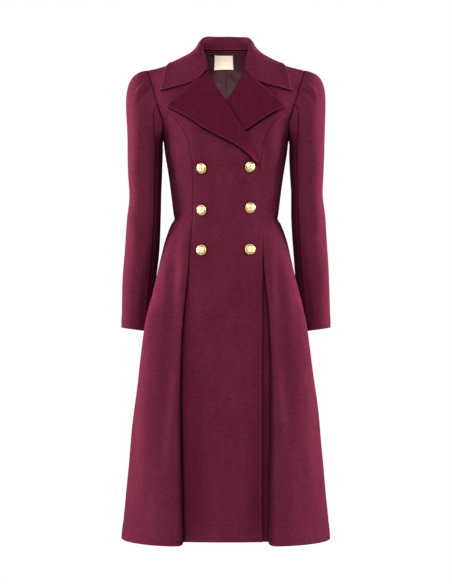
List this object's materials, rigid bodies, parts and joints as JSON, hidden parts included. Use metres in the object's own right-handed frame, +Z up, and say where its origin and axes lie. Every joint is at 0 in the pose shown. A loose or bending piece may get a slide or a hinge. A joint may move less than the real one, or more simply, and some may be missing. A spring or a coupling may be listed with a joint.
{
  "type": "long flared coat",
  "caption": "Long double-breasted wool coat with a wide collar, pointed lapels, domed metal buttons and a flared skirt, kept in its hollow worn form.",
  "frame": {"origin": "base of the neck on the coat's centre line, level with the shoulders that carry it", "axes": "+Z up along the coat's length, front towards -Y, wearer's left towards +X"},
  "size_m": [0.506, 0.3991, 1.2074],
  "materials": {
    "wool": "brushed wool cloth",
    "satin": "satin lining",
    "woven_label": "woven label",
    "gold_metal": "polished gold-coloured metal"
  },
  "bodies": {
    "root": {"front_right": "wool", "side_front_right": "wool", "side_back_right": "wool", "back_right": "wool", "upper_sleeve_right": "wool", "under_sleeve_right": "wool", "lapel_right": "wool", "front_left": "wool", "side_front_left": "wool", "side_back_left": "wool", "back_left": "wool", "upper_sleeve_left": "wool", "under_sleeve_left": "wool", "lapel_left": "wool", "collar": "wool", "back_lining": "satin", "hanger_loop": "satin", "label": "woven_label", "button_right_1": "gold_metal", "button_right_2": "gold_metal", "button_right_3": "gold_metal", "button_left_1": "gold_metal", "button_left_2": "gold_metal", "button_left_3": "gold_metal"}
  },
  "joints": []
}
